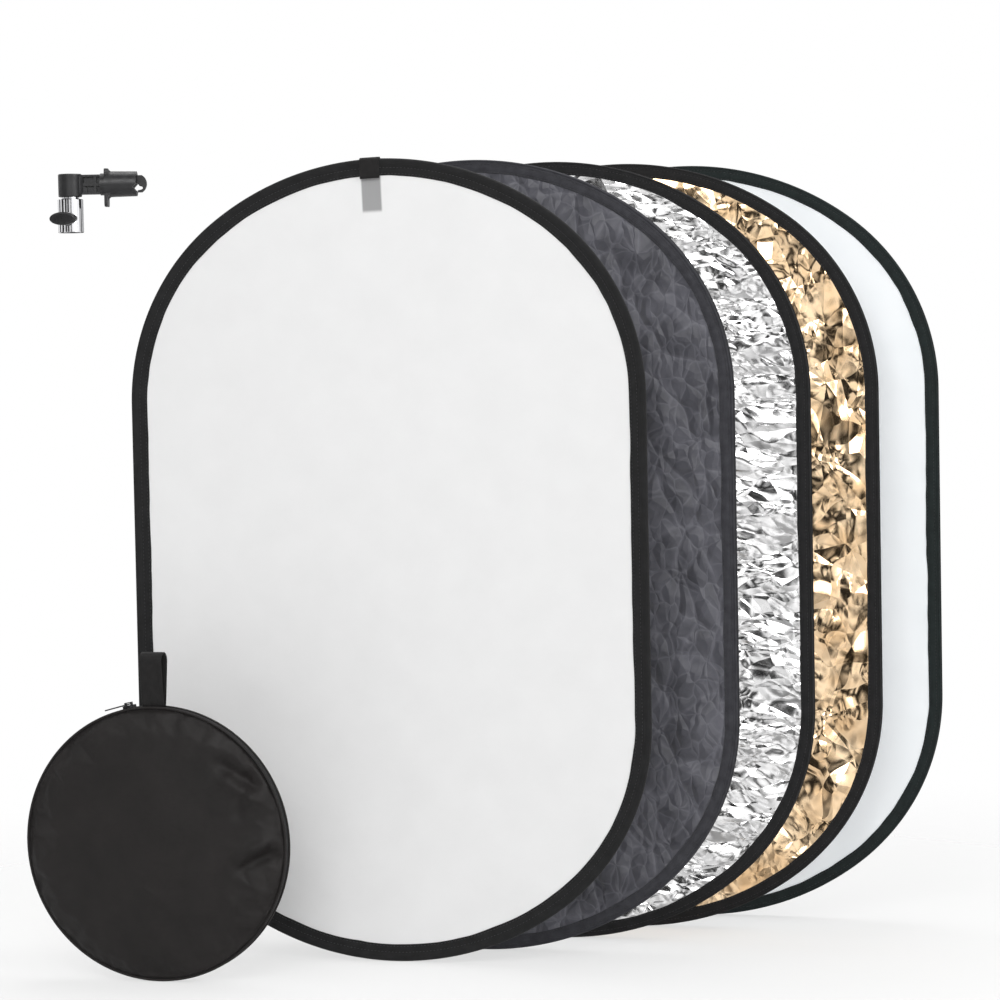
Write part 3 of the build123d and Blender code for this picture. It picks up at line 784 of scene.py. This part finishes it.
def diffuser_binding(place):
    """Folded tape over the hoop's hem, with a flat double-stitched edge on the cloth."""
    front = bump_profile((2.8, 0.6), 2.8, 0, 90, 7)
    front += [(5.6, 3.42), (7.2, 3.0), (8.4, 2.0), (9.6, 1.5), (10.4, 1.42)]
    front += [(13.0, 1.5), (16.2, 1.45), (16.8, 1.25), (17.4, 1.4), (18.6, 1.3), (19.0, 0.9)]
    section = front + mirrored(front)
    piece = sweep("diffuser_binding_tape", section, "diffuser_panel", "binding", place, 0.0005, 101)
    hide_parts("diffuser_binding")
    rows = both_sides([(0.0168, 0.00142, 1, 0), (0.0102, 0.00152, 1, 0.5)])
    stitches = beads(
        "diffuser_stitching", "diffuser_panel", "thread", place, rows, *DIFFUSER_STITCH,
    )
    return piece


def diffuser_tab(place):
    """Webbing folded over the rim, short in front and long behind."""
    top = CROWN_RADIUS + TAB_THICK
    half = BINDING_BEAD + TAB_THICK / 2 + 0.0002
    route = [(CROWN_RADIUS - TAB_FRONT, half), (TAB_LEG, half)]
    for turn in np.radians(np.linspace(20, 160, 8)):
        route.append((top - TAB_BEND + TAB_BEND * math.sin(turn), half * math.cos(turn)))
    route += [(TAB_LEG, -half), (CROWN_RADIUS - TAB_BACK, -half)]
    lean = Matrix.Rotation(TAB_LEAN, 4, "Z")
    tab_place = place @ Matrix.Translation((0, CROWN_Y, 0)) @ lean
    piece = strap("diffuser_tab_webbing", route, TAB_WIDTH, TAB_THICK, "diffuser_panel", tab_place)
    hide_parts("diffuser_tab")


def diffuser_panel():
    place = axes_of("diffuser_binding")
    cloth = stretched_sheet(
        "diffuser_cloth", "diffuser_panel", "diffuser", place,
        DIFFUSER_SHEET_INSET, DIFFUSER_SHEET_DEPTH, 1, diffuser_relief, SHEET_SPACING,
    )
    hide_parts("diffuser_fabric")
    binding = diffuser_binding(place)
    diffuser_tab(place)


# ---- Covered panels ----

CLOTHS = {
    "black": (black_relief, "black_nylon", SHEET_SPACING),
    "silver": (silver_relief, "silver_foil", 0.0036),
    "gold": (gold_relief, "gold_foil", 0.0036),
    "white": (white_relief, "white_fabric", 0.0050),
}
RIM_LOOKS = {"black": "grey_rim", "silver": "rim", "gold": "rim", "white": "green_rim"}


def cover_sheets(panel, place):
    """The front and back cloths of one cover."""
    for side, part, cloth in ((1, "face", COVERS[panel][0]), (-1, "back", COVERS[panel][1])):
        relief, slot, spacing = CLOTHS[cloth]
        piece = stretched_sheet(
            f"{panel}_{part}_cloth", f"{panel}_panel", cloth, place,
            COVER_SHEET_INSET, COVER_SHEET_DEPTH, side, relief, spacing,
        )
        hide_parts(f"{panel}_{part}")


def cover_rim(panel, place, seed):
    """Edge bands front and back: a piped edge, a seam and a flat band on the cloth."""
    band = bump_profile((1.35, 5.8), 1.35, -60, 150, 9)
    band += [(3.0, 6.2), (3.6, 6.9), (4.9, 7.0), (5.5, 6.55), (6.1, 7.0)]
    band += [(9.5, 7.25), (12.6, 7.1), (13.2, 6.8), (13.8, 7.0), (14.7, 6.8), (15.0, 6.2), (14.6, 5.6)]
    band += [(6.0, 5.5), (2.4, 5.2)]
    look = RIM_LOOKS[panel]
    front = sweep(f"{panel}_rim_tape", band, f"{panel}_panel", look, place, 0.0007, seed)
    back = sweep(f"{panel}_rim_tape_back", mirrored(band), f"{panel}_panel", look, place, 0.0007, seed + 5)
    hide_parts(f"{panel}_rim")
    rows = both_sides([(0.0132, 0.00695, 1, 0), (0.0055, 0.0067, 1, 0.5)])
    stitches = beads(f"{panel}_stitching", f"{panel}_panel", "thread", place, rows, *COVER_STITCH)


def cover_zip(panel, place):
    """Zip tape between the two bands, with a coil of two rows of loops."""
    tape = [(1.5, 5.0), (1.3, 3.2), (1.35, 2.7), (1.2, 1.6), (1.1, 0.15), (1.25, 0.0)]
    tape += [(1.1, -0.15), (1.2, -1.6), (1.35, -2.7), (1.3, -3.2), (1.5, -5.0), (2.4, -5.0), (2.4, 5.0)]
    piece = sweep(f"{panel}_zip_tape", tape, f"{panel}_panel", "tape", place)
    rows = [(0.0009, 0.00085, 0, 0), (0.0009, -0.00085, 0, 0.5)]
    coil = beads(f"{panel}_zip_coil", f"{panel}_panel", "coil", place, rows, *ZIP_LOOP)
    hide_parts(f"{panel}_zip")


def cover_core(panel, place):
    """The diffuser inside the cover: a membrane and the hem that holds its hoop."""
    membrane = stretched_sheet(
        f"{panel}_core_cloth", f"{panel}_panel", "white", place,
        CORE_INSET, CORE_DEPTH, 1, core_relief, CORE_SPACING,
    )
    hem = bump_profile((4.4, 1.4), 2.0, 0, 90, 5) + [(7.0, 3.4), (9.0, 2.2), (10.6, 0.9)]
    band = sweep(f"{panel}_core_hem", hem + mirrored(hem), f"{panel}_panel", "white", place)
    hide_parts(f"{panel}_core")


def covered_panels():
    for number, panel in enumerate(COVERS):
        place = axes_of(f"{panel}_rim")
        cover_sheets(panel, place)
        cover_rim(panel, place, 110 + 10 * number)
        cover_zip(panel, place)
        cover_core(panel, place)


# ---- Storage bag ----


def bag_relief(x, y):
    """Folds on the bag's right side, and faint ones elsewhere."""
    height = 0.0016 * hills(x, y, 0.06, 91)
    height -= 0.006 * crease(x, y, (0.145, -0.002), (0.092, -0.028), 0.005)
    height += 0.005 * crease(x, y, (0.140, 0.010), (0.090, -0.014), 0.006)
    height -= 0.006 * crease(x, y, (0.128, 0.062), (0.070, 0.092), 0.007)
    height += 0.004 * crease(x, y, (0.136, 0.040), (0.078, 0.074), 0.007)
    height -= 0.004 * crease(x, y, (0.112, 0.085), (0.096, 0.030), 0.006)
    height += 0.003 * crease(x, y, (0.130, -0.050), (0.080, -0.062), 0.010)
    angle = np.arctan2(y, x)
    radius = np.hypot(x, y)
    right = 0.3 + 0.7 * ease(np.cos(angle - 0.25), 0.3, 0.9)
    height += 0.0022 * right * hills(angle * 0.14, radius * 0.2, 0.012, 92) * ease(radius, 0.07, 0.13)
    return height


def bag_shell(name, side, place):
    """One puffed half of the bag: a round cloth held at its edge and slightly too large."""
    count = int(2 * math.pi * BAG_SHELL_RADIUS / BAG_SPACING)
    turns = np.arange(count) * 2 * math.pi / count
    rim = BAG_SHELL_RADIUS * np.column_stack([np.sin(turns), np.cos(turns)])
    rows = np.arange(-BAG_SHELL_RADIUS, BAG_SHELL_RADIUS, BAG_SPACING)
    x, y = (values.ravel() for values in np.meshgrid(rows, rows * 0.97))
    inside = np.hypot(x, y) < BAG_SHELL_RADIUS - BAG_SPACING * 0.7
    loose = np.vstack([rim, np.column_stack([x[inside], y[inside]])])
    made = delaunay_2d_cdt([Vector(p) for p in loose.tolist()], [], [list(range(count))], 1, 1e-7)
    flat, faces = np.array([tuple(p) for p in made[0]]), made[2]
    x, y = flat.T
    radius = np.hypot(x, y) / BAG_SHELL_RADIUS
    free = ease(1 - radius, 0.0, 0.06)
    height = BAG_EDGE + (BAG_CROWN - BAG_EDGE) * (1 - radius**2) + bag_relief(x * side, y) * free
    points = np.column_stack([x, y, side * height])
    if side < 0:
        faces = [tuple(reversed(face)) for face in faces]
    uv = flat[np.concatenate([np.asarray(face) for face in faces])]
    piece = new_piece(name, points, faces, "bag", "bag", None, uv)
    held = piece.vertex_groups.new(name="seam")
    held.add(np.nonzero(radius > BAG_SEAM)[0].tolist(), 1.0, "REPLACE")
    puff(piece)
    piece.data.transform(place)
    thicken(piece, BAG_CLOTH_THICK)
    return piece


def puff(piece):
    """Lets the cloth grow a little with air behind it, so that it wrinkles, and keeps the result."""
    before = np.array([v.co for v in piece.data.vertices])
    cloth = piece.modifiers.new("cloth", "CLOTH")
    for name, value in BAG_CLOTH.items():
        setattr(cloth.settings, name, value)
    cloth.settings.effector_weights.gravity = 0
    cloth.collision_settings.use_collision = False
    scene = bpy.context.scene
    for step in range(BAG_SETTLING):
        scene.frame_set(step + 1)
    shaped = piece.evaluated_get(bpy.context.evaluated_depsgraph_get())
    after = np.array([v.co for v in shaped.to_mesh().vertices])
    shaped.to_mesh_clear()
    piece.modifiers.remove(cloth)
    scene.frame_set(1)
    move = np.clip(after - before, -BAG_MAX_SWELL, BAG_MAX_SWELL)
    piece.data.vertices.foreach_set("co", (before + move).astype(np.float32).ravel())
    piece.data.update()


def round_sweep(name, section, look, place):
    """A band about the bag's middle. section is a closed loop of (radius, depth) in millimetres."""
    section = np.asarray(section, float) * 0.001
    turns = np.radians(np.linspace(0, 360, BAG_STEPS, endpoint=False))
    points = [(-r * math.sin(t), r * math.cos(t), d) for t in turns for r, d in section]
    across = run_lengths(np.vstack([section, section[:1]]))
    along = 2 * math.pi * BAG_RADIUS * np.arange(BAG_STEPS + 1) / BAG_STEPS
    faces, uv = tube(BAG_STEPS, across, along)
    return new_piece(name, points, faces, "bag", look, place, uv)


def bag_edge(place):
    """Piping, zip tape and coil round the bag's edge."""
    turns = np.radians(np.linspace(-90, 240, 12))
    edge = BAG_RADIUS * 1000
    cord = [(edge - 1.5 + 1.5 * math.cos(t), 5.9 + 1.5 * math.sin(t)) for t in turns]
    allowance = cord + [(edge - 6.0, 6.3), (edge - 6.5, 5.4), (edge - 3.5, 4.9)]
    front = round_sweep("bag_piping_front", allowance, "bag", place)
    behind = [(radius, -depth) for radius, depth in reversed(allowance)]
    back = round_sweep("bag_piping_back", behind, "bag", place)
    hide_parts("bag_piping")
    inside, outside = edge - 2.9, edge - 1.8
    tape = [(inside, -4.8), (outside, -4.8), (outside + 0.1, -1.8), (outside, 0.0)]
    tape += [(outside + 0.1, 1.8), (outside, 4.8), (inside, 4.8)]
    tape_piece = round_sweep("bag_zip_tape", tape, "tape", place)
    coil = zip_coil(place)
    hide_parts("bag_zip")


def zip_coil(place):
    """Two rows of small loops from beside the top, down the bag's left side."""
    points = []
    pitch = math.degrees(BAG_COIL_PITCH / BAG_RADIUS)
    for row, depth in enumerate((0.0007, -0.0007)):
        for number in range(int(BAG_COIL_TURN / pitch)):
            turn = math.radians(BAG_COIL_START + (number + row / 2) * pitch)
            out = Vector((-math.sin(turn), math.cos(turn), 0))
            along = Vector((math.cos(turn), math.sin(turn), 0))
            middle = out * (BAG_RADIUS - 0.0012) + Vector((0, 0, depth))
            shifts = (along * 0.0008, Vector((0, 0, 0.0011)), along * -0.0008, Vector((0, 0, -0.0011)))
            points += [middle + shift for shift in shifts]
            points += [middle + out * 0.0007, middle - out * 0.0007]
    return new_piece("bag_zip_coil", points, lozenge_faces(len(points) // 6), "bag", "coil", place)


def bag_loop(place):
    """Webbing loop that stands on the top seam."""
    top = BAG_RADIUS + LOOP_HEIGHT - LOOP_TOP_RADIUS
    foot = BAG_RADIUS - 0.0015
    middle_radius = LOOP_TOP_RADIUS - LOOP_THICK / 2
    route = [(foot, 0.0022), (foot + 0.012, 0.0042)]
    for turn in np.radians(np.linspace(0, 180, 11)):
        route.append((top + middle_radius * math.sin(turn), middle_radius * math.cos(turn)))
    route += [(foot + 0.012, -0.0042), (foot, -0.0022)]
    piece = strap("bag_loop_webbing", route, LOOP_WIDTH, LOOP_THICK, "bag", place)
    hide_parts("bag_loop")


def storage_bag():
    place = axes_of("bag_piping")
    front = bag_shell("bag_front_cloth", 1, place)
    back = bag_shell("bag_back_cloth", -1, place)
    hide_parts("bag_front_panel")
    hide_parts("bag_back_panel")
    bag_edge(place)
    bag_loop(place)


# ---- Holder spring ----


def holder_spring():
    """A coil for the holder's spring, which in the real holder shortens against its fixed end as the
    sleeve is drawn back; here it is built at one fixed length.
    """
    low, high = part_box("holder_spring")
    middle = (low + high) / 2
    radius = (high.z - low.z) / 2 - SPRING_WIRE
    travel = high.x - low.x - 2 * SPRING_WIRE
    steps, sides = 36, 8
    count = SPRING_TURNS * steps
    points = []
    for i in range(count + 1):
        turn = 2 * math.pi * i / steps
        out = Vector((0, math.cos(turn), math.sin(turn)))
        centre = Vector((low.x + SPRING_WIRE + travel * i / count, middle.y, middle.z)) + radius * out
        for k in range(sides):
            around = 2 * math.pi * k / sides
            ray = math.cos(around) * out + Vector((math.sin(around), 0, 0))
            points.append(centre + SPRING_WIRE * ray)
    faces, _ = tube(count + 1, range(sides + 1), range(count + 1), flipped=True)
    faces += [tuple(range(sides)), tuple(range(count * sides, (count + 1) * sides))[::-1]]
    piece = new_piece("holder_spring_coil", points, faces, "holder_arm", "spring_steel")
    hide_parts("holder_spring")
    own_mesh(piece)


# ---- CAD pieces that keep their shape ----

CAD_LOOKS = {
    "spring_hoop": "spring_steel",
    "hoop_ferrule": "steel",
    "zip_slider": "enamel",
    "zip_pull": "enamel",
    "holder_barrel": "chrome",
    "holder_spigot": "chrome",
    "holder_spigot_screw": "steel",
    "holder_head": "plastic",
    "holder_hook": "plastic",
    "holder_hook_pin": "steel",
    "holder_sleeve": "plastic",
    "holder_screw": "steel",
    "holder_knob": "knob",
    "holder_pressure_pad": "brass",
}


def dress_cad_nodes():
    """Gives every CAD node that stays its finish."""
    for name, node in nodes.items():
        for ending, look in CAD_LOOKS.items():
            if name.endswith(ending):
                node.data.materials.clear()
                node.data.materials.append(LOOKS[look])
                node.visible_glossy = "hoop" not in name


# ---- Stage, light and camera ----


def floor():
    """A round pale floor that fades out into the pale surroundings."""
    turns = np.linspace(0, 2 * math.pi, FLOOR_SPOKES, endpoint=False)
    edge = FLOOR_RADIUS * np.column_stack([np.sin(turns), -np.cos(turns), 0 * turns])
    edge[:, 2] = -FLOOR_DROP
    mesh = bpy.data.meshes.new("floor")
    mesh.from_pydata(edge.tolist(), [], [tuple(range(FLOOR_SPOKES))])
    look = Look("pale_floor", (1.0, 1.0, 1.0), 0.8)
    middle = look.node("ShaderNodeVectorMath", Vector=look.places)
    middle.operation = "LENGTH"
    fade = look.node("ShaderNodeMapRange", Value=middle.outputs["Value"], **FLOOR_FADE)
    fade.interpolation_type = "SMOOTHSTEP"
    look.tree.links.new(fade.outputs["Result"], look.shader.inputs["Alpha"])
    look.colours(look.noise(0.4), 0.3, 0.7, (0.98, 0.98, 0.98), (1.0, 1.0, 1.0))
    mesh.materials.append(look.material)
    piece = bpy.data.objects.new("floor", mesh)
    bpy.context.scene.collection.objects.link(piece)


def softbox(name, place, aim, size, power):
    light = bpy.data.lights.new(name, "AREA")
    light.shape = "RECTANGLE"
    light.size, light.size_y = size
    light.energy = power
    lamp = bpy.data.objects.new(name, light)
    lamp.location = place
    lamp.rotation_euler = (Vector(aim) - Vector(place)).to_track_quat("-Z", "Y").to_euler()
    bpy.context.scene.collection.objects.link(lamp)


def surroundings():
    """Pale studio air for the camera, with darker stretches that metal can reflect."""
    world = bpy.data.worlds.new("studio")
    world.use_nodes = True
    tree = world.node_tree
    pale = tree.nodes["Background"]
    pale.inputs["Color"].default_value = (1, 1, 1, 1)
    pale.inputs["Strength"].default_value = 1.0
    room = tree.nodes.new("ShaderNodeBackground")
    places = tree.nodes.new("ShaderNodeTexCoord").outputs["Generated"]
    patches = tree.nodes.new("ShaderNodeTexNoise")
    patches.inputs["Scale"].default_value = 3.0
    patches.inputs["Detail"].default_value = 0.5
    ramp = tree.nodes.new("ShaderNodeValToRGB")
    ramp.color_ramp.elements.new(0.5)
    for element, (position, tone) in zip(ramp.color_ramp.elements, ROOM_TONES):
        element.position = position
        element.color = (tone, tone, tone, 1)
    tree.links.new(places, patches.inputs["Vector"])
    tree.links.new(patches.outputs["Fac"], ramp.inputs["Fac"])
    tree.links.new(ramp.outputs["Color"], room.inputs["Color"])
    room.inputs["Strength"].default_value = 0.8
    path = tree.nodes.new("ShaderNodeLightPath")
    mix = tree.nodes.new("ShaderNodeMixShader")
    tree.links.new(path.outputs["Is Camera Ray"], mix.inputs["Fac"])
    tree.links.new(room.outputs["Background"], mix.inputs[1])
    tree.links.new(pale.outputs["Background"], mix.inputs[2])
    tree.links.new(mix.outputs["Shader"], tree.nodes["World Output"].inputs["Surface"])
    bpy.context.scene.world = world


def camera():
    """Stands 3.5 m in front of the diffuser panel's middle and looks a little down."""
    low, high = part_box("diffuser_binding")
    data = bpy.data.cameras.new("camera")
    data.lens = LENS
    data.clip_end = 50
    eye = bpy.data.objects.new("camera", data)
    pitch, roll = math.radians(90 - CAMERA_DOWN), math.radians(CAMERA_ROLL)
    turn = Matrix.Rotation(pitch, 4, "X") @ Matrix.Rotation(roll, 4, "Z")
    place = (low + high) / 2 + Vector(CAMERA_OFFSET)
    eye.matrix_world = Matrix.Translation(place) @ turn
    bpy.context.scene.collection.objects.link(eye)
    bpy.context.scene.camera = eye


def studio():
    floor()
    surroundings()
    for name, values in SOFTBOXES.items():
        softbox(name, *values)
    camera()
    bpy.context.scene.view_settings.view_transform = "Standard"


diffuser_panel()
covered_panels()
storage_bag()
holder_spring()
dress_cad_nodes()
studio()
